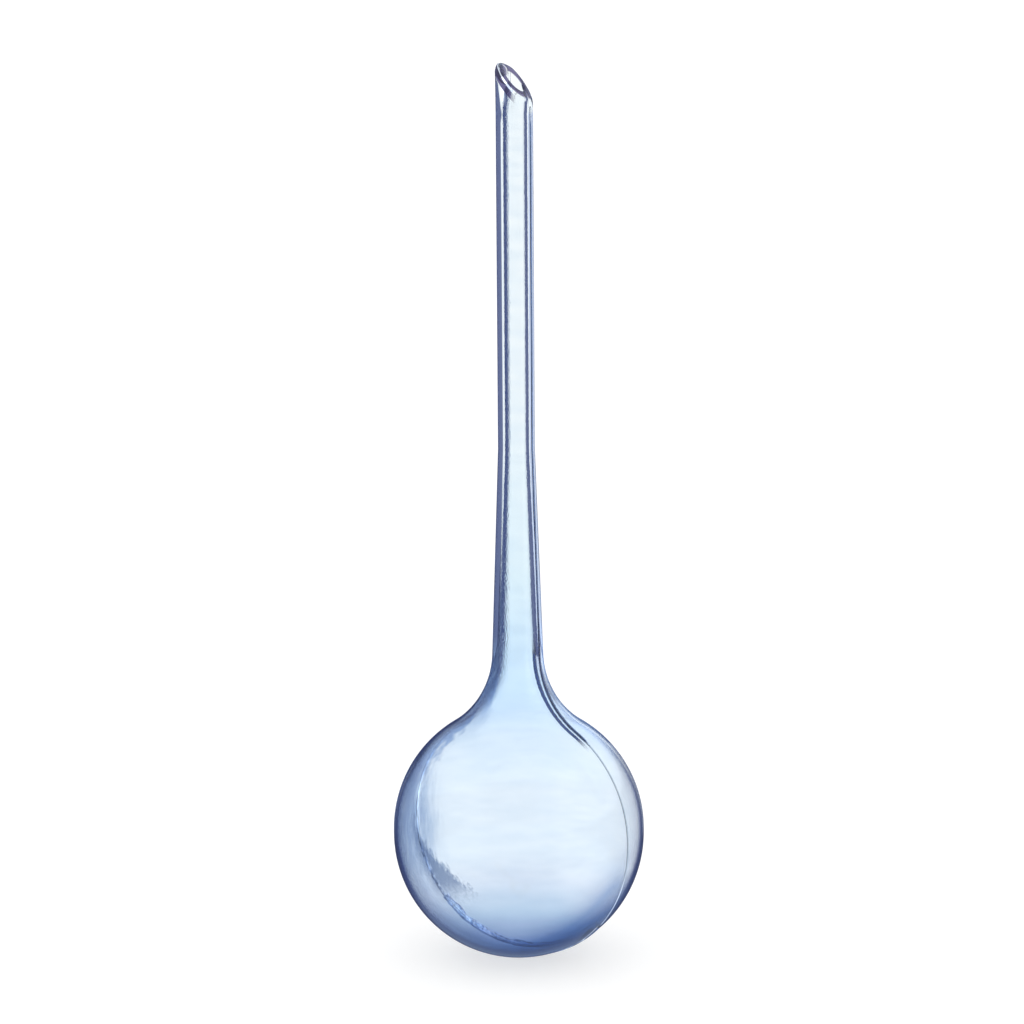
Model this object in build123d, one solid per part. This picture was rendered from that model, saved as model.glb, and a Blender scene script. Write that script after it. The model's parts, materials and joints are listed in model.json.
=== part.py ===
from build123d import *
from dataclasses import dataclass, replace
import math
import os

# A blow-moulded watering globe, standing on its bulb with the stem up.
# Z is the axis of bulb and stem, and the mould's parting plane is y = 0.
# The mouth is cut at a slant that falls towards +X. All sizes are in millimetres.

# Outside of the wall
overall_height = 280.0
bulb_radius = 39.4
bulb_belt = 1.4           # straight band between the bulb's two half spheres
shoulder_radius = 28.0    # hollow curve from the bulb into the stem
stem_radius = 5.7
taper_top_height = 162.0  # above this the stem is a plain cylinder
taper_angle = 2.0         # degrees that the stem widens by below it, on each side

# Thickness of the wall, which the blowing stretched thinnest on the bulb
stem_wall = 3.2
bulb_wall = 1.1
base_wall = 1.5
bore_taper_angle = 1.4    # degrees, less than the outside has, so the neck's wall is the thickest
shoulder_thinning = 7.0   # how much wider the inside's hollow curve is, which thins the wall to the bulb's

# Slanted mouth
mouth_slant = 48.8        # degrees from level
lip_radius = 1.0

# Pinch welds and parting lines, set between the two half shells
seam_width = 0.8
weld_proud = 0.15         # height of the weld outside the stem and shoulder
weld_crease = 0.45        # depth of the crease that it leaves inside them
shoulder_weld_run = 6.0   # length of the weld past the shoulder, on the bulb
base_weld_span = 58.0     # width of the squeezed tube, tip to tip across the foot
base_weld_proud = 0.3
base_bead_height = 0.9    # lump that the pinch-off leaves inside the foot
parting_line_proud = 0.12

# Worked out from the sizes above
low_centre = base_weld_proud + bulb_radius
high_centre = low_centre + bulb_belt
inner_bulb_radius = bulb_radius - bulb_wall
blank_top = overall_height + 2 * stem_radius  # end of the stem before its mouth is cut
slant = math.radians(mouth_slant)
lip = min(lip_radius, 0.45 * stem_wall)
weld_lip = min(lip + weld_proud, 0.45 * (stem_wall - weld_crease + weld_proud))
lip_loss = lip * ((1 + math.sin(slant)) / math.cos(slant) - 1)  # height that rounding takes off the tip
mouth_plane = Plane(
    origin=(-stem_radius, 0, overall_height + lip_loss),
    z_dir=(math.sin(slant), 0, math.cos(slant)),
)


@dataclass
class WallSide:
    """The outer or the inner side of the wall, as a line in the plane of X and Z."""

    bulb_r: float
    low_z: float       # centre of the bulb's lower half sphere
    high_z: float      # centre of its upper half sphere
    shoulder_r: float
    taper: float
    stem_r: float

    def moved_out(self, distance):
        """The same line, further from the axis by this distance."""
        return replace(
            self,
            bulb_r=self.bulb_r + distance,
            shoulder_r=self.shoulder_r - distance,
            stem_r=self.stem_r + distance,
        )

    def shoulder(self):
        """The centre of the hollow curve, and the points where it meets the bulb and the taper."""
        taper = math.radians(self.taper)
        down = Vector(math.sin(taper), -math.cos(taper))
        outward = Vector(math.cos(taper), math.sin(taper))
        taper_top = Vector(self.stem_r, taper_top_height)
        bulb_centre = Vector(0, self.high_z)
        reach = self.bulb_r + self.shoulder_r
        offset = taper_top + outward * self.shoulder_r - bulb_centre
        along = offset.dot(down)
        run = -along - math.sqrt(along**2 - offset.dot(offset) + reach**2)
        curve_centre = bulb_centre + offset + down * run
        on_bulb = bulb_centre + (curve_centre - bulb_centre) * (self.bulb_r / reach)
        return curve_centre, on_bulb, taper_top + down * run

    def neck_angle(self):
        """Where the bulb ends and the shoulder starts, in degrees round the bulb from its foot."""
        on_bulb = self.shoulder()[1]
        return 90 + math.degrees(math.atan2(on_bulb.Y - self.high_z, on_bulb.X))

    def bulb_edges(self):
        """The bulb's line, from its foot to the shoulder."""
        return [
            CenterArc((0, self.low_z), self.bulb_r, -90, 90),
            Line((self.bulb_r, self.low_z), (self.bulb_r, self.high_z)),
            CenterArc((0, self.high_z), self.bulb_r, 0, self.neck_angle() - 90),
        ]

    def stem_edges(self):
        """The line of shoulder, taper and stem, up to the end of the blank."""
        curve_centre, on_bulb, on_taper = self.shoulder()
        sagging = (on_bulb + on_taper - curve_centre * 2).normalized()
        taper_top = (self.stem_r, taper_top_height)
        return [
            ThreePointArc(on_bulb, curve_centre + sagging * self.shoulder_r, on_taper),
            Line(on_taper, taper_top),
            Line(taper_top, (self.stem_r, blank_top)),
        ]


outer = WallSide(bulb_radius, low_centre, high_centre, shoulder_radius, taper_angle, stem_radius)
inner = WallSide(
    inner_bulb_radius,
    base_weld_proud + base_wall + inner_bulb_radius,
    high_centre,
    shoulder_radius + shoulder_thinning,
    bore_taper_angle,
    stem_radius - stem_wall,
)

# Angles round the bulb from its foot where one kind of seam ends and the next starts
base_end_angle = math.degrees(math.asin(base_weld_span / 2 / bulb_radius))
shoulder_end_angle = outer.neck_angle() - math.degrees(shoulder_weld_run / bulb_radius)


def band(outer_edges, inner_edges):
    """The face between two lines that run the same way."""
    foot = Line(outer_edges[0] @ 0, inner_edges[0] @ 0)
    head = Line(outer_edges[-1] @ 1, inner_edges[-1] @ 1)
    return Plane.XZ * make_face([foot, *outer_edges, head, *inner_edges])


def seam_strip(outer_edges, inner_edges):
    """A band given the seam's width, half of it on each side of the parting plane."""
    return extrude(band(outer_edges, inner_edges), amount=seam_width / 2, both=True)


def end_plane(angle, centre_z):
    """The plane across the seam at an angle round the bulb, facing the mouth."""
    turn = math.radians(angle)
    return Plane((0, 0, centre_z), z_dir=(math.cos(turn), 0, math.sin(turn)))


base_end = end_plane(base_end_angle, low_centre)
shoulder_end = end_plane(shoulder_end_angle, high_centre)


def half_shells():
    """The moulded wall with its rounded lip, parted at both faces of the seam."""
    profile = band(outer.bulb_edges() + outer.stem_edges(), inner.bulb_edges() + inner.stem_edges())
    wall = split(revolve(profile, axis=Axis.Z), bisect_by=mouth_plane, keep=Keep.BOTTOM)
    wall = fillet(wall.edges().filter_by(GeomType.ELLIPSE), lip)
    front = split(wall, bisect_by=Plane.XZ.offset(seam_width / 2), keep=Keep.TOP)
    rear = split(wall, bisect_by=Plane.XZ.offset(-seam_width / 2), keep=Keep.BOTTOM)
    return front, rear


def stem_welds():
    """The welds from the bulb to the mouth, proud outside and creased inside."""
    proud = outer.moved_out(weld_proud)
    creased = inner.moved_out(weld_crease)
    blank = seam_strip(proud.bulb_edges() + proud.stem_edges(), creased.bulb_edges() + creased.stem_edges())
    blank = split(blank, bisect_by=shoulder_end, keep=Keep.TOP)

    def finished(weld):
        weld = split(weld, bisect_by=mouth_plane, keep=Keep.BOTTOM)
        mouth_edges = weld.edges().filter_by(Axis.Y).sort_by(Axis.Z)[-2:]
        return fillet(mouth_edges, weld_lip)

    return finished(blank), finished(mirror(blank, about=Plane.YZ))


def parting_lines():
    """The fine flash lines on the bulb's sides, between the stem welds and the base weld."""
    line = seam_strip(outer.moved_out(parting_line_proud).bulb_edges(), inner.bulb_edges())
    line = split(line, bisect_by=base_end, keep=Keep.TOP)
    line = split(line, bisect_by=shoulder_end, keep=Keep.BOTTOM)
    return line, mirror(line, about=Plane.YZ)


def base_weld():
    """The pinch-off across the foot: a proud fin outside, and inside a lump that runs out at its ends."""
    turn = math.radians(base_end_angle)
    drop = inner.low_z - low_centre
    reach = math.sqrt(inner.bulb_r**2 - (drop * math.sin(turn)) ** 2) - drop * math.cos(turn)
    lump_tip = (reach * math.sin(turn), low_centre - reach * math.cos(turn))  # inner wall at the end plane
    lump_foot = (0, inner.low_z - inner.bulb_r + base_bead_height)
    lump = ThreePointArc((-lump_tip[0], lump_tip[1]), lump_foot, lump_tip)
    fin = CenterArc((0, low_centre), bulb_radius + base_weld_proud, -90 - base_end_angle, 2 * base_end_angle)
    return seam_strip([fin], [lump])


front_half_shell, rear_half_shell = half_shells()
right_stem_weld, left_stem_weld = stem_welds()
right_parting_line, left_parting_line = parting_lines()

nodes = {
    "front_half_shell": front_half_shell,
    "rear_half_shell": rear_half_shell,
    "right_stem_weld": right_stem_weld,
    "left_stem_weld": left_stem_weld,
    "right_parting_line": right_parting_line,
    "left_parting_line": left_parting_line,
    "base_weld": base_weld(),
}

os.makedirs("parts", exist_ok=True)
for name, solid in nodes.items():
    export_step(solid, f"parts/{name}.step")
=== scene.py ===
import json
import math
from functools import cached_property

import bmesh
import bpy
from mathutils import Matrix, Vector, noise


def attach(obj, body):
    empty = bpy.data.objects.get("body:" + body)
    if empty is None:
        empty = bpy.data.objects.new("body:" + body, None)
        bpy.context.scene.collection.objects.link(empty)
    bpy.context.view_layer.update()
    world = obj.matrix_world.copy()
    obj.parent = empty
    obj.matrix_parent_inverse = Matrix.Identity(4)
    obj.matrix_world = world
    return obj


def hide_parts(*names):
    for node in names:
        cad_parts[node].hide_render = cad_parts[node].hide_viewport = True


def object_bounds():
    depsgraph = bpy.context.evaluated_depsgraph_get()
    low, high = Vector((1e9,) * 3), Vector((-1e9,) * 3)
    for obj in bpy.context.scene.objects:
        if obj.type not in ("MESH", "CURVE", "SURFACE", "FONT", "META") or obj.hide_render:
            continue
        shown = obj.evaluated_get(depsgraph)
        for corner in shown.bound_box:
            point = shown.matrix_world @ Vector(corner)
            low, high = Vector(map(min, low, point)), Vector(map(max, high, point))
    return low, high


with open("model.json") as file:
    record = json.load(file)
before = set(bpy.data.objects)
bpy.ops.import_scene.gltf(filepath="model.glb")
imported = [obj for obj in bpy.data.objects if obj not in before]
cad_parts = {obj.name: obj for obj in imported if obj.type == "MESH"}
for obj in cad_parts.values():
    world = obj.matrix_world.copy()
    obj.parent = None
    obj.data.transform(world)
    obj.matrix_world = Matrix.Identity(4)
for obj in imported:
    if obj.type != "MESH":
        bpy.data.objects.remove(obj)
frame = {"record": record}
cad_low, cad_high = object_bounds()

# The globe stands on its bulb. Z is its axis, the mould's parting plane is y = 0 and the
# slanted mouth falls towards +X. Sizes are in millimetres and meshes are scaled at the end.
MM = 0.001
mounts = {mount["name"]: mount for mount in frame["record"]["mounts"]}
overall_height = cad_high.z / MM
bulb_radius = cad_high.y / MM
stem_radius = mounts["stem"]["dims"]["r_mm"]
bore_radius = mounts["mouth"]["dims"]["r_mm"]
bulb_belt = 1.4
bulb_wall = 1.1
base_wall = 1.5
shoulder_radius = 28.0
bore_shoulder_radius = 35.0
taper_top_height = 162.0
taper_angle = 2.0
bore_taper_angle = 1.4
mouth_slant = 48.8
lip_width = 2.05
inner_lip_width = 0.85
lip_loss = 0.47 * lip_width  # height that the lip's rounding takes off the tip
tip_sag = 0.9                # how much lower than the cut the tip is, where the lip is rounded most
sag_start = 2.4              # distance from the axis where the sag towards the tip starts

# The blowing left the hollow a little wide of the axis, most of all in the shoulder.
# Each station has a height, a stretch of the hollow's width and a shift of it along X.
bore_stations = (
    (66.0, 1.0, 0.0),
    (80.0, 1.0, 0.5),
    (89.0, 1.04, 0.8),
    (99.0, 1.14, 0.40),
    (112.0, 1.115, 0.26),
    (162.0, 1.08, 0.22),
    (300.0, 1.08, 0.22),
)

# Welds up the stem, fine lines on the bulb's sides and a pinch-off under the foot
weld_width = 0.9
weld_proud = 0.15
weld_depth = 0.25
weld_edge = 0.15
right_weld_drop = 2.0
left_weld_drop = 4.5
shoulder_weld_run = 6.0
parting_line_width = 0.5
parting_line_proud = 0.11
parting_line_depth = 0.5
parting_line_edge = 0.15
left_line_width = 0.9
base_weld_span = 58.0
base_weld_width = 1.2
base_weld_proud = 0.28
base_weld_edge = 0.4
base_bead_height = 0.9
base_weld_lumps = 0.9
left_line_lumps = 0.35
lumps_per_mm = 0.45
smooth_skin = 0.8  # depth under the bulb's outside that has no lumps in and out

# Steps that the smooth curves are drawn in
bulb_steps = 48
shoulder_steps = 24
taper_steps = 28
stem_steps = 40
quarter_steps = 48
lip_steps = 4
edge_steps = 3
sharp_angle = 40.0
merge_distance = 0.001

# Worked out from the sizes above
low_centre = bulb_radius + base_weld_proud
high_centre = low_centre + bulb_belt
blank_top = overall_height + 2 * stem_radius
slant = math.radians(mouth_slant)
mouth_tip = Vector((-stem_radius, 0, overall_height + lip_loss + tip_sag))
mouth_normal = Vector((math.sin(slant), 0, math.cos(slant)))
mouth_low = mouth_tip.z - 2 * stem_radius * math.tan(slant)


def part_of(geometry, kind):
    """The vertices, edges or faces among the parts that an operator returns."""
    return [part for part in geometry if isinstance(part, kind)]


def everything(bm):
    return bm.verts[:] + bm.edges[:] + bm.faces[:]


def turned(bm, vertex, centre, degrees, steps):
    """Draws an arc from a vertex, anticlockwise as seen from the front, and returns its end."""
    made = bmesh.ops.spin(
        bm, geom=[vertex], cent=centre, axis=(0, -1, 0), angle=math.radians(degrees), steps=steps
    )
    return part_of(made["geom_last"], bmesh.types.BMVert)[0]


def pushed(bm, vertex, end, steps):
    """Draws a straight run from a vertex to a point, and returns its end."""
    step = (Vector(end) - vertex.co) / steps
    made = bmesh.ops.spin(
        bm, geom=[vertex], cent=(0, 0, 0), axis=(0, 0, 1), dvec=step, angle=0, steps=steps
    )
    return part_of(made["geom_last"], bmesh.types.BMVert)[0]


class WallLine:
    """One side of the wall, as a line in the plane of X and Z."""

    def __init__(self, bulb_r, low_z, shoulder_r, taper, stem_r):
        self.bulb_r = bulb_r
        self.low_z = low_z
        self.shoulder_r = shoulder_r
        self.taper = taper
        self.stem_r = stem_r
        lean = math.radians(taper)
        down = Vector((math.sin(lean), 0, -math.cos(lean)))
        outward = Vector((math.cos(lean), 0, math.sin(lean)))
        self.taper_top = Vector((stem_r, 0, taper_top_height))
        bulb_centre = Vector((0, 0, high_centre))
        reach = bulb_r + shoulder_r
        offset = self.taper_top + outward * shoulder_r - bulb_centre
        along = offset.dot(down)
        run = -along - math.sqrt(along**2 - offset.length_squared + reach**2)
        self.curve_centre = bulb_centre + offset + down * run
        self.on_bulb = bulb_centre.lerp(self.curve_centre, bulb_r / reach)
        self.on_taper = self.taper_top + down * run
        self.neck_angle = 90 + math.degrees(math.atan2(self.on_bulb.z - high_centre, self.on_bulb.x))

    def moved_out(self, distance):
        """The same line, further from the axis by this distance."""
        return WallLine(
            self.bulb_r + distance,
            self.low_z,
            self.shoulder_r - distance,
            self.taper,
            self.stem_r + distance,
        )

    def draw(self, bm):
        """Draws the line from the foot to the end of the blank, by turning and pushing one vertex."""
        tip = bm.verts.new((0, 0, self.low_z - self.bulb_r))
        tip = turned(bm, tip, (0, 0, self.low_z), 90, bulb_steps)
        tip = pushed(bm, tip, (self.bulb_r, 0, high_centre), 1)
        tip = turned(bm, tip, (0, 0, high_centre), self.neck_angle - 90, bulb_steps // 2)
        bend = (self.on_taper - self.curve_centre).angle(self.on_bulb - self.curve_centre)
        tip = turned(bm, tip, self.curve_centre, -math.degrees(bend), shoulder_steps)
        tip = pushed(bm, tip, self.taper_top, taper_steps)
        tip = pushed(bm, tip, (self.stem_r, 0, mouth_low - 2 * lip_width), stem_steps)
        pushed(bm, tip, (self.stem_r, 0, blank_top), 1)


outer = WallLine(bulb_radius, low_centre, shoulder_radius, taper_angle, stem_radius)
inner = WallLine(
    bulb_radius - bulb_wall,
    base_weld_proud + base_wall + bulb_radius - bulb_wall,
    bore_shoulder_radius,
    bore_taper_angle,
    bore_radius,
)
base_end_angle = math.asin(base_weld_span / 2 / bulb_radius)
shoulder_end_angle = math.radians(outer.neck_angle) - shoulder_weld_run / bulb_radius


def eased(low, high, value):
    """Goes smoothly from 0 at the low value to 1 at the high one."""
    share = min(max((value - low) / (high - low), 0), 1)
    return share * share * (3 - 2 * share)


def squeezed(point):
    """A point of the hollow where the blowing left it."""
    for lower, upper in zip(bore_stations, bore_stations[1:]):
        if point.z < upper[0]:
            break
    share = eased(lower[0], upper[0], point.z)
    stretch, shift = (a + (b - a) * share for a, b in zip(lower[1:], upper[1:]))
    return Vector((point.x * stretch + shift, point.y * stretch, point.z))


def wall_side(line, outwards):
    """One side of the wall as a mesh, turned a quarter round and mirrored twice."""
    bm = bmesh.new()
    line.draw(bm)
    bmesh.ops.spin(
        bm, geom=everything(bm), cent=(0, 0, 0), axis=(0, 0, 1), angle=math.pi / 2, steps=quarter_steps
    )
    bmesh.ops.remove_doubles(bm, verts=bm.verts, dist=merge_distance)
    for axis in "XY":
        bmesh.ops.mirror(
            bm, geom=everything(bm), matrix=Matrix.Identity(4), merge_dist=merge_distance, axis=axis
        )
    bmesh.ops.remove_doubles(bm, verts=bm.verts, dist=merge_distance)
    bmesh.ops.recalc_face_normals(bm, faces=bm.faces)
    if not outwards:
        bmesh.ops.reverse_faces(bm, faces=bm.faces)
        for vertex in bm.verts:
            vertex.co = squeezed(vertex.co)
    mesh = bpy.data.meshes.new("wall_side")
    bm.to_mesh(mesh)
    bm.free()
    return mesh


def moulded_wall():
    """The whole wall: both sides, cut at the slanted mouth and joined there by a rounded lip."""
    bm = bmesh.new()
    for side in (wall_side(outer, True), wall_side(inner, False)):
        bm.from_mesh(side)
        bpy.data.meshes.remove(side)
    cut_mouth(bm, 0)
    rims = [edge for edge in bm.edges if edge.is_boundary]
    bmesh.ops.bridge_loops(bm, edges=rims)
    middle = (stem_radius + bore_radius) / 2
    outer_rim = [edge for edge in rims if edge.verts[0].co.xy.length > middle]
    inner_rim = [edge for edge in rims if edge.verts[0].co.xy.length < middle]
    for rim, width in ((outer_rim, lip_width), (inner_rim, inner_lip_width)):
        bmesh.ops.bevel(
            bm,
            geom=rim,
            offset=width,
            affect="EDGES",
            segments=lip_steps,
            profile=0.5,
            material=-1,
            clamp_overlap=False,
        )
    for vertex in bm.verts:
        if vertex.co.z > mouth_low:
            vertex.co.z -= tip_sag * eased(sag_start, stem_radius, -vertex.co.x)
    return finished(bm, "moulded_wall", "front_half_shell", "rear_half_shell")


def cut_mouth(bm, drop):
    """Takes off what stands above the slanted mouth, or above a plane some way under it."""
    cut = mouth_tip - Vector((0, 0, drop))
    bmesh.ops.bisect_plane(bm, geom=everything(bm), plane_co=cut, plane_no=mouth_normal, clear_outer=True)


def end_cut(bm, angle, centre_z, keep_above):
    """Cuts across a seam at an angle round the bulb from its foot."""
    normal = Vector((math.cos(angle), 0, math.sin(angle)))
    if keep_above:
        normal.negate()
    bmesh.ops.bisect_plane(
        bm, geom=everything(bm), plane_co=(0, 0, centre_z), plane_no=normal, clear_outer=True
    )


def seam_band(outside, inside):
    """The flat face in the parting plane between two lines."""
    bm = bmesh.new()
    outside.draw(bm)
    inside.draw(bm)
    bmesh.ops.bridge_loops(bm, edges=bm.edges[:])
    return bm


def thickened(bm, width, edge_width):
    """Makes a strip of a flat band, half on each side of the parting plane, with rounded edges."""
    bmesh.ops.recalc_face_normals(bm, faces=bm.faces)
    made = bmesh.ops.extrude_face_region(bm, geom=bm.faces[:])
    moved = part_of(made["geom"], bmesh.types.BMVert)
    bmesh.ops.translate(bm, verts=bm.verts, vec=(0, -width / 2, 0))
    bmesh.ops.translate(bm, verts=moved, vec=(0, width, 0))
    bmesh.ops.recalc_face_normals(bm, faces=bm.faces)
    sharp = [edge for edge in bm.edges if edge.calc_face_angle(0) > math.radians(sharp_angle)]
    bmesh.ops.bevel(
        bm,
        geom=sharp,
        offset=edge_width,
        affect="EDGES",
        segments=edge_steps,
        profile=0.5,
        material=-1,
        clamp_overlap=True,
    )


def roughened(bm, height):
    """Pushes the sides of a seam in and out in lumps of a height, and its inner side up and down."""
    for vertex in bm.verts:
        lump = noise.noise(vertex.co * lumps_per_mm) * height
        vertex.co.y += math.copysign(lump, vertex.co.y)
        from_centre = vertex.co - Vector((0, 0, low_centre))
        if from_centre.length < bulb_radius - smooth_skin:
            vertex.co += from_centre.normalized() * noise.noise(vertex.co.zxy * lumps_per_mm) * height


def other_side(bm):
    """Moves a seam from the right of the axis to the left."""
    bmesh.ops.scale(bm, vec=(-1, 1, 1), verts=bm.verts)


def stem_weld(name, left):
    """A weld from the bulb to the mouth, proud of the wall."""
    bm = seam_band(outer.moved_out(weld_proud), outer.moved_out(-weld_depth))
    end_cut(bm, shoulder_end_angle, high_centre, True)
    if left:
        other_side(bm)
    cut_mouth(bm, left_weld_drop if left else right_weld_drop)
    thickened(bm, weld_width, weld_edge)
    return finished(bm, name, name)


def parting_line(name, left):
    """A fine flash line on the bulb's side."""
    bm = seam_band(outer.moved_out(parting_line_proud), outer.moved_out(-parting_line_depth))
    end_cut(bm, base_end_angle, low_centre, True)
    end_cut(bm, shoulder_end_angle, high_centre, False)
    if left:
        other_side(bm)
    thickened(bm, left_line_width if left else parting_line_width, parting_line_edge)
    if left:
        roughened(bm, left_line_lumps)
    return finished(bm, name, name)


def base_weld():
    """The lumpy pinch-off across the foot."""
    bm = seam_band(outer.moved_out(base_weld_proud), inner.moved_out(-base_bead_height))
    end_cut(bm, base_end_angle, low_centre, False)
    bmesh.ops.mirror(
        bm, geom=everything(bm), matrix=Matrix.Identity(4), merge_dist=merge_distance, axis="X"
    )
    bmesh.ops.remove_doubles(bm, verts=bm.verts, dist=merge_distance)
    thickened(bm, base_weld_width, base_weld_edge)
    roughened(bm, base_weld_lumps)
    return finished(bm, "base_weld", "base_weld")


def finished(bm, name, *nodes):
    """A smooth closed object, in metres at the origin, that stands for some nodes."""
    bmesh.ops.remove_doubles(bm, verts=bm.verts, dist=merge_distance)
    bmesh.ops.recalc_face_normals(bm, faces=bm.faces)
    if bm.calc_volume(signed=True) < 0:
        bmesh.ops.reverse_faces(bm, faces=bm.faces)
    bmesh.ops.scale(bm, vec=(MM, MM, MM), verts=bm.verts)
    mesh = bpy.data.meshes.new(name)
    bm.to_mesh(mesh)
    bm.free()
    mesh.shade_smooth()
    piece = bpy.data.objects.new(name, mesh)
    bpy.context.scene.collection.objects.link(piece)
    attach(piece, "root")
    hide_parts(*nodes)
    return piece


class Value:
    """A socket of a node tree. Sums and products of values add Math nodes."""

    def __init__(self, tree, socket):
        self.tree = tree
        self.socket = socket

    @classmethod
    def node(cls, tree, kind, settings, sockets, output=0):
        """Adds a node, with its settings first and then the values or links of its sockets."""
        node = tree.nodes.new(kind)
        for name, setting in settings.items():
            if name == "stops":
                set_stops(node.color_ramp, setting)
            else:
                setattr(node, name, setting)
        for name, value in sockets.items():
            if isinstance(value, Value):
                tree.links.new(value.socket, node.inputs[name])
            else:
                node.inputs[name].default_value = value
        return cls(tree, node.outputs[output])

    def math(self, operation, first, second):
        """A Math node on two values or numbers."""
        return Value.node(self.tree, "ShaderNodeMath", {"operation": operation}, {0: first, 1: second})

    def __add__(self, other):
        return self.math("ADD", self, other)

    def __radd__(self, other):
        return self.math("ADD", other, self)

    def __sub__(self, other):
        return self.math("SUBTRACT", self, other)

    def __rsub__(self, other):
        return self.math("SUBTRACT", other, self)

    def __mul__(self, other):
        return self.math("MULTIPLY", self, other)

    def __rmul__(self, other):
        return self.math("MULTIPLY", other, self)

    def __truediv__(self, other):
        return self.math("DIVIDE", self, other)

    def __rtruediv__(self, other):
        return self.math("DIVIDE", other, self)

    def larger(self, other):
        return self.math("MAXIMUM", self, other)

    def over(self, limit):
        """1 where the value is above a limit, and 0 elsewhere."""
        return self.math("GREATER_THAN", self, limit)

    def size(self):
        return self.math("ABSOLUTE", self, 0)

    def root(self):
        return self.math("POWER", self, 0.5)

    def sign(self):
        return self.math("SIGN", self, 0)

    def eased(self, low, high):
        """Goes smoothly from 0 at the low value to 1 at the high one, or down if they are swapped."""
        return Value.node(
            self.tree,
            "ShaderNodeMapRange",
            {"interpolation_type": "SMOOTHSTEP"},
            {"Value": self, "From Min": low, "From Max": high},
        )

    def within(self, start, end):
        """Eases in over the start's pair of values, and out over the end's."""
        return self.eased(*start) * self.eased(*end)


def set_stops(ramp, stops):
    """Gives a colour ramp its stops, as places and colours."""
    while len(ramp.elements) < len(stops):
        ramp.elements.new(0.5)
    for element, (place, colour) in zip(ramp.elements, stops):
        element.position = place
        element.color = (*colour, 1)


def mixed(tree, factor, first, second, blend="MIX"):
    """One colour over another, each a value or an RGB triple."""
    first, second = (colour if isinstance(colour, Value) else (*colour, 1) for colour in (first, second))
    settings = {"data_type": "RGBA", "blend_type": blend}
    return Value.node(tree, "ShaderNodeMix", settings, {0: factor, 6: first, 7: second}, 2)


def axes_of(tree, vector):
    """A vector's parts along X, Y and Z."""
    return [Value.node(tree, "ShaderNodeSeparateXYZ", {}, {0: vector}, axis) for axis in "XYZ"]


# The studio's sides, as seen from the camera: to the right, and to the back
bright_side = (0.854, 0.52, 0.0)
back_side = (-0.52, 0.854, 0.0)

# The marks below, most of them painted shade and highlights, are laid on by place, in millimetres, and by
# how far the surface faces away, from 0 to 1.
# In each pair of places a mark is gone at the first and full at the second.

# Body of the plastic
refractive_index = 1.5
body_colour = (0.06, 0.6, 0.93)
body_density = 12.0

# Tint of one crossing of the wall at heights from the foot; its deeper blue at the foot is partly painted
# shade, standing in for the shaded floor seen through the foot
wall_tints = (
    (0.0, (0.70, 0.82, 0.97)),
    (3.0, (0.47, 0.58, 0.76)),
    (6.5, (0.56, 0.68, 0.81)),
    (15.0, (0.81, 0.85, 0.92)),
    (24.0, (0.90, 0.95, 0.99)),
    (62.0, (0.90, 0.95, 0.99)),
    (82.0, (0.80, 0.905, 1.0)),
    (99.0, (0.84, 0.934, 1.0)),
    (121.0, (0.915, 0.98, 1.0)),
    (180.0, (0.98, 1.0, 1.0)),
)

# Unevenness left by the blowing, as waves a millimetre along each axis and octaves of noise
streak_waves, streak_octaves = (0.35, 0.35, 0.045), 3
scar_waves, scar_octaves = (0.9, 0.9, 0.16), 3
cloud_waves, cloud_octaves = (0.07, 0.07, 0.3), 5
jag_waves, jag_octaves = (1.5, 1.5, 0.7), 2
grain_waves, grain_octaves = (2.6, 2.6, 1.0), 2
noise_mean = 0.5

# Faint clouds, which also dull the gloss
cloud_tint = (0.95, 0.965, 0.98)
cloud_noise = (0.3, 0.7)
cloud_roughness = 0.012

# Strip along the seam on the bulb's left, free of the painted dark reflection and its scars, with painted
# glints in it
left_of_axis = (0.0, -1.0)
far_seam_half = (1.9, 1.2)
far_seam_waviness = 1.2
seam_glint_noise = (0.45, 0.58)
seam_glint_foot = (1.0, 4.0)
seam_glint_top = (74.0, 60.0)
seam_glint_share = 0.3

# Painted dark reflection on the bulb's left, scarred and streaked, which leans with the height
left_reflection_tint = (0.64, 0.71, 0.83)
left_reflection_lean = (-0.27, -0.50)
left_reflection_lean_per_mm = 0.004
left_reflection_lean_streaks = 0.3
left_reflection_foot = (16.0, 40.0)
left_reflection_top = (90.0, 66.0)
left_reflection_scars = 1.6
left_reflection_streaks = 1.2
left_reflection_base = -0.4

# Painted dark reflection beside the seam at the lower left, which narrows upwards to a point
patch_tint = (0.32, 0.38, 0.5)
patch_point_height = 33.0
patch_spread = 0.55
patch_raggedness = 9.0
patch_front = (1.4, -1.0)
patch_back = (-6.0, 1.0)
patch_foot = (12.5, 20.5)
patch_foot_raggedness = 6.0

# Painted dark lines of shade along the stem welds, which widen in the shoulder
shoulder_weld_tint = (0.045, 0.085, 0.2)
stem_weld_tint = (0.1, 0.19, 0.4)
weld_tint_heights = (100.0, 125.0)
weld_line_half = 0.45
weld_widening = 0.55
weld_widening_foot = (71.2, 73.0)
weld_widening_top = (115.0, 85.0)
weld_line_edge = (0.1, -0.1)
weld_line_foot = (71.2, 72.2)
weld_line_top = (3.0, 5.0)
weld_line_end = (-6.5, -5.5)
weld_jags = 0.4

# Second painted dark line of shade, beside the right weld in the shoulder
flank_tint = (0.001, 0.005, 0.04)
flank_place = 2.4
flank_half = (0.9, 0.7)
flank_foot = (69.2, 73.0)
flank_top = (106.0, 98.0)
right_of_axis = (0.0, 1.0)

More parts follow.
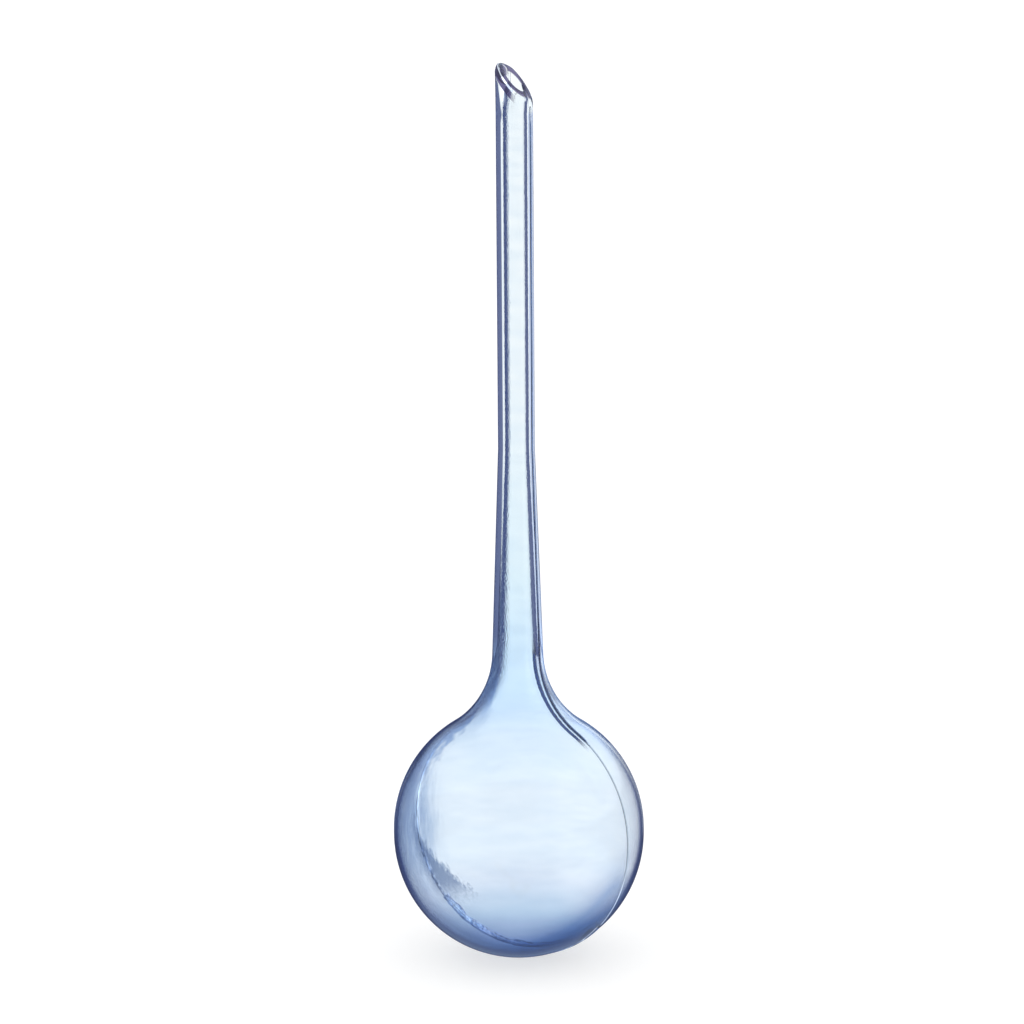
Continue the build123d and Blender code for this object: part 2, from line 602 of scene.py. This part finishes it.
# Painted dark lines of shade on the lip, with a little painted light in them: round the hole, along the far
# edge, and under the near edge
lip_tint = (0.012, 0.009, 0.035)
lip_light = (0.035, 0.03, 0.07)
near_side = (0.6, -0.6)
hole_line_radius = (5.0, 4.7)
hole_line_depth = (1.4, 1.1)
hole_line_pinch = 0.9
hole_line_pinch_places = (-2.0, -4.5)
far_line_radius = (5.2, 4.9)
far_line_depth = (0.6, 0.3)
crescent_radius = (5.2, 5.4)
crescent_turn = 0.05
crescent_depth = (2.6, 2.3)
crescent_end = (3.6, 1.8)

# Painted bright rings of the lip: on it, under it, and round its tip
glow_light = (0.74, 0.82, 0.95)
pale_ring_depth = (2.3, 1.9)
pale_ring_radius = (4.7, 4.9)
pale_ring_tip = (-5.4, -4.6)
pale_ring_end = (3.0, 1.0)
under_ring_depth = (2.2, 2.5)
under_ring_end = (5.5, 3.5)
under_ring_left = (-4.4, -3.6)
under_ring_right = (1.0, -1.0)
under_ring_share = 0.7
tip_ring_place = (-2.0, -3.5)
tip_ring_depth = (1.6, 1.2)
tip_ring_radius = (5.4, 5.0)
tip_ring_share = 0.13

# Shade round the bulb's foot, deeper on the right
low_rim_tint = (0.12, 0.22, 0.45)
low_rim_facing = (0.2, 0.7)
low_rim_top = (34.0, 12.0)
low_rim_right = 0.6

# Painted dark outline of shade round the bulb, fainter on the right, and its broader part at the upper left
outline_tint = (0.02, 0.03, 0.075)
outline_facing = (0.74, 0.84)
outline_foot = (20.0, 36.0)
outline_top = (85.0, 74.0)
outline_left = (0.0, -5.0)
outline_left_rise = 14.0
outline_right = (0.0, 20.0)
outline_right_loss = 0.15
broad_facing = (0.65, 0.78)
broad_side = (-5.0, -15.0)
broad_heights = (52.0, 66.0)

# Right end of the base weld: a shade with a glint beside it, and a glint on the parting line above
ledge_tint = (0.008, 0.008, 0.035)
ledge_start = (22.0, 25.5)
ledge_end = (30.0, 28.5)
ledge_top = (17.0, 14.5)
ledge_shade_place = -4.2
ledge_shade_half = (3.0, 1.5)
ledge_glint_place = -1.5
ledge_glint_half = (0.6, 0.3)
ledge_glint_share = 0.7
line_glint_half = (0.4, 0.2)
line_glint_start = (20.0, 30.0)
line_glint_foot = (13.0, 14.5)
line_glint_top = (34.0, 24.0)
line_glint_share = 0.3

# Painted dark band of shade on the left of shoulder and neck, and its run on the bulb, by the turn about
# the axis
shoulder_tint = (0.17, 0.27, 0.52)
band_streaks = 0.25
band_turn = (-0.54, -0.74)
band_foot = (72.0, 86.0)
band_top = (135.0, 112.0)
low_band_turn = (-0.82, -0.93)
low_band_foot = (50.0, 68.0)

# Edges of the stem, with painted shade on the left and a painted highlight on the right
rim_tint = (0.022, 0.029, 0.09)
bright_rim_tint = (0.42, 0.5, 0.78)
rim_facing = (0.28, 0.34)
rim_foot = (85.0, 105.0)
rim_top = (1.8, 3.0)
rim_change = (-1.0, 1.0)

# Light along the right edge of the shoulder
edge_light = (0.11, 0.17, 0.29)
edge_facing = (0.5, 0.72)
edge_side = (2.0, 4.0)
edge_foot = (62.0, 76.0)
edge_top = (112.0, 100.0)

# Grain on the wall of the bore, more of it on the left and in the neck
bore_grain = 0.07
grain_foot = (75.0, 90.0)
grain_right_share = 0.4
grain_left_share = 0.6
grain_left = (1.0, -1.0)
neck_grain_left = (0.0, -2.0)
neck_grain_foot = (70.0, 85.0)
neck_grain_top = (140.0, 110.0)


class Skin:
    """Where a point of the plastic is, in millimetres, and the marks that several paints share."""

    def __init__(self, tree):
        self.tree = tree
        metres = Value.node(tree, "ShaderNodeTexCoord", {}, {}, "Object")
        self.place = self.stretched(metres, (1 / MM, 1 / MM, 1 / MM))
        self.along, self.across, self.height = axes_of(tree, self.place)
        self.side = self.along * bright_side[0] + self.across * bright_side[1]
        self.from_axis = (self.along * self.along + self.across * self.across).root()
        mouth_reach = mouth_tip.dot(mouth_normal)
        self.under_mouth = mouth_reach - self.along * mouth_normal.x - self.height * mouth_normal.z
        self.facing = Value.node(tree, "ShaderNodeLayerWeight", {}, {"Blend": 0.5}, "Facing")
        self.near = self.across.eased(*near_side)
        self.streaks = self.noise_of(streak_waves, streak_octaves)
        self.scars = self.noise_of(scar_waves, scar_octaves)
        self.clouds = self.noise_of(cloud_waves, cloud_octaves)

    def stretched(self, vector, stretch):
        """A vector with each of its parts multiplied."""
        return Value.node(
            self.tree, "ShaderNodeVectorMath", {"operation": "MULTIPLY"}, {0: vector, 1: stretch}
        )

    def noise_of(self, waves, octaves):
        """Noise from about 0.2 to 0.8, in as many waves a millimetre along each axis as given."""
        vector = self.stretched(self.place, waves)
        return Value.node(
            self.tree, "ShaderNodeTexNoise", {}, {"Vector": vector, "Scale": 1.0, "Detail": octaves}, "Fac"
        )

    @cached_property
    def from_behind(self):
        """1 where a ray meets the surface from inside the plastic, and 0 elsewhere."""
        return Value.node(self.tree, "ShaderNodeNewGeometry", {}, {}, "Backfacing")

    @cached_property
    def outside(self):
        """1 on the outside of the wall, and 0 on the inside of it."""
        normal = Value.node(self.tree, "ShaderNodeNewGeometry", {}, {}, "Normal")
        normal_x, normal_y, _ = axes_of(self.tree, normal)
        outwards = (normal_x * self.along + normal_y * self.across) * (0.5 - self.from_behind)
        return outwards.over(0)

    @cached_property
    def entered(self):
        """1 on the outside of the wall where a ray comes in through it, and 0 elsewhere."""
        return self.outside * (1 - self.from_behind)

    @cached_property
    def far_seam(self):
        """The strip along the seam on the bulb's left."""
        strip = (self.across.size() + self.scars * far_seam_waviness).eased(*far_seam_half)
        return strip * self.along.eased(*left_of_axis)

    @cached_property
    def seam(self):
        """The distance from the parting plane, with a jagged error. It is below 0 on one side."""
        jags = (self.noise_of(jag_waves, jag_octaves) - noise_mean) * weld_jags
        return self.across * self.along.sign() + jags

    @cached_property
    def weld_line(self):
        """The painted dark lines of shade along the stem welds, short of the tip."""
        widening = self.height.within(weld_widening_foot, weld_widening_top)
        half = weld_line_half + widening * weld_widening
        line = (self.seam.size() - half).eased(*weld_line_edge) * self.height.eased(*weld_line_foot)
        line = line * self.under_mouth.eased(*weld_line_top) * self.along.eased(*weld_line_end)
        return line * self.outside

    @cached_property
    def flank_line(self):
        """The second painted dark line of shade, beside the right weld."""
        line = (self.seam + flank_place).size().eased(*flank_half) * self.along.eased(*right_of_axis)
        return line * self.height.within(flank_foot, flank_top) * self.outside

    @cached_property
    def lip_line(self):
        """The painted dark lines of shade on the lip."""
        pinch = self.along.eased(*hole_line_pinch_places) * hole_line_pinch
        hole_line = (self.from_axis + pinch).eased(*hole_line_radius)
        hole_line = hole_line * self.under_mouth.eased(*hole_line_depth)
        far_line = self.from_axis.eased(*far_line_radius) * self.under_mouth.eased(*far_line_depth)
        crescent = (self.from_axis - self.along * crescent_turn).eased(*crescent_radius)
        crescent = crescent * self.under_mouth.eased(*crescent_depth) * self.along.eased(*crescent_end)
        return (hole_line.larger(crescent) * self.near).larger(far_line * (1 - self.near))

    @cached_property
    def ledge(self):
        """The right end of the base weld."""
        return self.along.within(ledge_start, ledge_end) * self.height.eased(*ledge_top) * self.entered


def wall_tint(skin):
    """The wall's tint by height, its deeper blue at the foot partly painted shade."""
    stops = [(height / overall_height, colour) for height, colour in wall_tints]
    return Value.node(skin.tree, "ShaderNodeValToRGB", {"stops": stops}, {0: skin.height / overall_height})


def left_reflection(skin):
    """The painted dark reflection on the bulb's left, uneven with scars and streaks."""
    lean = skin.side / bulb_radius + skin.height * left_reflection_lean_per_mm + skin.streaks * left_reflection_lean_streaks
    wall = lean.eased(*left_reflection_lean) * skin.height.within(left_reflection_foot, left_reflection_top) * (1 - skin.far_seam)
    return wall * (skin.scars * left_reflection_scars + skin.streaks * left_reflection_streaks + left_reflection_base)


def dark_patch(skin):
    """The painted dark, ragged patch of reflection at the bulb's lower left."""
    reach = (patch_point_height - skin.height) * patch_spread + (skin.scars - noise_mean) * patch_raggedness
    patch = (skin.across - reach).eased(*patch_front) * skin.across.eased(*patch_back)
    foot = (skin.height + skin.scars * patch_foot_raggedness).eased(*patch_foot)
    return patch * foot * skin.along.eased(*left_of_axis)


def weld_tint(skin):
    """The painted shade of the welds' lines, darker in the shoulder than up the stem."""
    return mixed(skin.tree, skin.height.eased(*weld_tint_heights), shoulder_weld_tint, stem_weld_tint)


def low_rim(skin):
    """The shade round the bulb's foot."""
    rim = skin.facing.eased(*low_rim_facing) * skin.height.eased(*low_rim_top)
    return rim * (1 + skin.side / bulb_radius * low_rim_right)


def bulb_outline(skin):
    """The bulb's painted dark outline of shade and its broader part, each as a mark."""
    rise = skin.side.eased(*outline_left) * outline_left_rise
    top = (skin.height - rise).eased(*outline_top) * skin.entered
    fine = skin.facing.eased(*outline_facing) * (1 - skin.side.eased(*outline_right) * outline_right_loss)
    fine = fine * skin.height.eased(*outline_foot)
    broad = skin.facing.eased(*broad_facing) * skin.side.eased(*broad_side)
    broad = broad * skin.height.eased(*broad_heights)
    return fine * top, broad * top


def ledge_shade(skin):
    """The shade at the right end of the base weld."""
    return skin.ledge * (skin.across - ledge_shade_place).size().eased(*ledge_shade_half)


def shoulder_band(skin):
    """The painted dark band of shade on the left of shoulder and neck."""
    turn = skin.side / skin.from_axis + (skin.streaks - noise_mean) * band_streaks
    band = turn.eased(*band_turn) * skin.height.eased(*band_foot)
    low_band = turn.eased(*low_band_turn) * skin.height.eased(*low_band_foot)
    return band.larger(low_band) * skin.height.eased(*band_top) * skin.entered


def stem_rim(skin):
    """The edges of the stem, up to the lip, where shade and a highlight are painted."""
    rim = skin.facing.eased(*rim_facing) * skin.height.eased(*rim_foot)
    return rim * skin.under_mouth.eased(*rim_top) * skin.entered


def stem_rim_tint(skin):
    """The tint of the stem's edges: painted shade on the left and a painted highlight on the right."""
    return mixed(skin.tree, skin.side.eased(*rim_change), rim_tint, bright_rim_tint)


def painted(skin):
    """The wall's tint with its marks laid over it, one by one: faint clouds, and painted shade and dark
    reflections.
    """
    tint = wall_tint(skin)
    outline, broad_outline = bulb_outline(skin)
    for mark, colour, blend in (
        (left_reflection(skin), left_reflection_tint, "MULTIPLY"),
        (dark_patch(skin), patch_tint, "MULTIPLY"),
        (skin.clouds.eased(*cloud_noise), cloud_tint, "MULTIPLY"),
        (skin.lip_line, lip_tint, "MIX"),
        (skin.weld_line, weld_tint(skin), "MIX"),
        (skin.flank_line, flank_tint, "MIX"),
        (low_rim(skin), low_rim_tint, "MULTIPLY"),
        (outline, outline_tint, "MULTIPLY"),
        (broad_outline, outline_tint, "MULTIPLY"),
        (ledge_shade(skin), ledge_tint, "MULTIPLY"),
        (shoulder_band(skin), shoulder_tint, "MULTIPLY"),
        (stem_rim(skin), stem_rim_tint(skin), "MIX"),
    ):
        tint = mixed(skin.tree, mark, tint, colour, blend)
    return tint


def pale_ring(skin):
    """The painted bright ring on the near side of the lip, between its painted dark lines."""
    ring = skin.under_mouth.eased(*pale_ring_depth) * skin.from_axis.eased(*pale_ring_radius)
    return ring * skin.along.within(pale_ring_tip, pale_ring_end) * skin.near * (1 - skin.lip_line)


def under_ring(skin):
    """The painted bright zone on the stem, just under the lip."""
    zone = skin.under_mouth.within(under_ring_depth, under_ring_end) * skin.near * skin.outside
    return zone * skin.side.eased(*under_ring_left) * skin.along.eased(*under_ring_right)


def tip_ring(skin):
    """The faint painted ring of light round the tip of the lip."""
    ring = skin.under_mouth.eased(*tip_ring_depth) * skin.from_axis.eased(*tip_ring_radius)
    return ring * skin.along.eased(*tip_ring_place)


def seam_glint(skin):
    """Glints along the seam on the bulb's left."""
    glint = skin.far_seam * skin.scars.eased(*seam_glint_noise)
    return glint * skin.height.within(seam_glint_foot, seam_glint_top)


def ledge_glint(skin):
    """The glint at the right end of the base weld."""
    return skin.ledge * (skin.across - ledge_glint_place).size().eased(*ledge_glint_half)


def line_glint(skin):
    """The glint on the lower part of the right parting line."""
    glint = skin.across.size().eased(*line_glint_half) * skin.along.eased(*line_glint_start)
    return glint * skin.height.within(line_glint_foot, line_glint_top) * skin.entered


def right_edge(skin):
    """The right edge of the shoulder, clear of the weld's lines."""
    edge = skin.facing.eased(*edge_facing) * skin.side.eased(*edge_side) * skin.entered
    return edge * skin.height.within(edge_foot, edge_top) * (1 - skin.weld_line.larger(skin.flank_line))


def glowing(skin):
    """Faint light that stands in for bright refractions."""
    glow = pale_ring(skin)
    for mark, share in (
        (under_ring(skin), under_ring_share),
        (seam_glint(skin), seam_glint_share),
        (tip_ring(skin), tip_ring_share),
        (ledge_glint(skin), ledge_glint_share),
        (line_glint(skin), line_glint_share),
    ):
        glow = glow.larger(mark * share)
    light = mixed(skin.tree, glow, (0, 0, 0), glow_light)
    light = mixed(skin.tree, right_edge(skin), light, edge_light)
    return mixed(skin.tree, skin.lip_line, light, lip_light)


def grained(skin):
    """The normal of the surface, with the bore's grain."""
    neck = skin.side.eased(*neck_grain_left) * skin.height.within(neck_grain_foot, neck_grain_top)
    share = grain_right_share + skin.side.eased(*grain_left) * grain_left_share + neck
    grain = skin.noise_of(grain_waves, grain_octaves) * (1 - skin.outside) * skin.height.eased(*grain_foot)
    sockets = {"Strength": 1.0, "Distance": bore_grain * MM, "Height": grain * share}
    return Value.node(skin.tree, "ShaderNodeBump", {}, sockets, "Normal")


def clear_blue_plastic():
    """Clear plastic with a light blue tint, and painted shade that deepens it at the foot, the neck and the
    welds, with painted highlights at the lip, the seams and the shoulder.
    """
    material = bpy.data.materials.new("clear_blue_plastic")
    material.use_nodes = True
    tree = material.node_tree
    skin = Skin(tree)
    principled = tree.nodes["Principled BSDF"]
    principled.inputs["IOR"].default_value = refractive_index
    principled.inputs["Transmission Weight"].default_value = 1.0
    principled.inputs["Emission Strength"].default_value = 1.0
    for socket, value in (
        ("Base Color", painted(skin)),
        ("Emission Color", glowing(skin)),
        ("Roughness", skin.clouds * cloud_roughness),
        ("Normal", grained(skin)),
    ):
        tree.links.new(value.socket, principled.inputs[socket])
    body = {"Color": (*body_colour, 1), "Density": body_density}
    volume = Value.node(tree, "ShaderNodeVolumeAbsorption", {}, body)
    tree.links.new(volume.socket, tree.nodes["Material Output"].inputs["Volume"])
    return material


# Light of the studio, and the directions over which one light goes over into the next
open_light = (1.14, 1.14, 1.14)
bright_light = (0.95, 0.98, 1.05)
up_light = (0.5, 0.58, 0.75)
down_light = (0.3, 0.4, 0.62)
dark_light = (0.075, 0.10, 0.235)
bright_spread = (0.4, 0.7)
up_spread = (0.0, 0.3)
down_spread = (-0.4, -0.6)
level_rise = -0.13
level_spread = (0.3, 0.22)
shade_spread = (0.4, 0.2)
stray_shade = 0.7
backdrop_spread = (0.91, 0.96)
deep_crossings = (2.4, 3.6)


def studio():
    """A white studio that is dark at the level of the globe. The dark shows only in reflections."""
    world = bpy.data.worlds.new("studio")
    bpy.context.scene.world = world
    world.use_nodes = True
    tree = world.node_tree
    direction = Value.node(tree, "ShaderNodeTexCoord", {}, {}, "Generated")
    rise = axes_of(tree, direction)[2]

    def towards(side):
        return Value.node(
            tree, "ShaderNodeVectorMath", {"operation": "DOT_PRODUCT"}, {0: direction, 1: side}, "Value"
        )

    reflected = Value.node(tree, "ShaderNodeLightPath", {}, {}, "Glossy Depth").over(0.5)
    crossings = Value.node(tree, "ShaderNodeLightPath", {}, {}, "Transmission Depth")
    crossed_wall = crossings.over(1.5)
    in_wall = crossed_wall - crossings.over(2.5)  # in through the wall's outside and out again

    below = mixed(tree, crossings.eased(*deep_crossings), down_light, bright_light)
    around = mixed(tree, rise.eased(*up_spread), dark_light, up_light)
    around = mixed(tree, rise.eased(*down_spread), around, below)
    around = mixed(tree, towards(bright_side).eased(*bright_spread), around, bright_light)
    level = (rise - level_rise).size().eased(*level_spread)
    shade = in_wall * towards(bright_side).eased(*shade_spread).larger(level)
    around = mixed(tree, shade.larger(crossed_wall * level * stray_shade), around, dark_light)
    backdrop = in_wall * level * towards(back_side).eased(*backdrop_spread)
    around = mixed(tree, backdrop, around, open_light)
    light = mixed(tree, reflected, open_light, around)
    tree.links.new(light.socket, tree.nodes["Background"].inputs["Color"])


def floor():
    """A white table, softly shaded at the foot of the bulb."""
    reach, grey, glow = 3, 0.42, 0.64
    bm = bmesh.new()
    bmesh.ops.create_grid(bm, x_segments=1, y_segments=1, size=reach)
    mesh = bpy.data.meshes.new("floor")
    bm.to_mesh(mesh)
    bm.free()
    plane = bpy.data.objects.new("floor", mesh)
    bpy.context.scene.collection.objects.link(plane)
    material = bpy.data.materials.new("floor")
    material.use_nodes = True
    principled = material.node_tree.nodes["Principled BSDF"]
    principled.inputs["Base Color"].default_value = (grey, grey, grey, 1)
    principled.inputs["Roughness"].default_value = 1.0
    principled.inputs["Specular IOR Level"].default_value = 0.0
    principled.inputs["Emission Color"].default_value = (1, 1, 1, 1)
    principled.inputs["Emission Strength"].default_value = glow
    plane.data.materials.append(material)
    plane.visible_transmission = False
    plane.visible_glossy = False


def camera():
    """The photograph's view: a long lens a metre off, a little above the mouth."""
    azimuth = math.radians(31.3)
    pitch = math.radians(10.2)
    roll = math.radians(0.38)
    distance, height, aside = 1.0, 0.322, -0.0015
    focal_pixels, frame_pixels = 3280, 1024
    right = Vector((math.cos(azimuth), math.sin(azimuth), 0))
    near = Vector((math.sin(azimuth), -math.cos(azimuth), 0))
    back = near * math.cos(pitch) + Vector((0, 0, math.sin(pitch)))
    up = back.cross(right)
    place = near * distance + right * aside + Vector((0, 0, height))
    right, up = right * math.cos(roll) - up * math.sin(roll), right * math.sin(roll) + up * math.cos(roll)
    data = bpy.data.cameras.new("camera")
    data.sensor_width = 36
    data.lens = data.sensor_width * focal_pixels / frame_pixels
    data.clip_end = 10
    eye = bpy.data.objects.new("camera", data)
    eye.matrix_world = Matrix.Translation(place) @ Matrix((right, up, back)).transposed().to_4x4()
    bpy.context.scene.collection.objects.link(eye)
    bpy.context.scene.camera = eye


plastic = clear_blue_plastic()
pieces = [
    moulded_wall(),
    stem_weld("right_stem_weld", False),
    stem_weld("left_stem_weld", True),
    parting_line("right_parting_line", False),
    parting_line("left_parting_line", True),
    base_weld(),
]
for piece in pieces:
    piece.data.materials.append(plastic)
studio()
floor()
camera()
scene = bpy.context.scene
scene.view_settings.view_transform = "Standard"
scene.cycles.max_bounces = 24
scene.cycles.transmission_bounces = 24
scene.cycles.glossy_bounces = 12
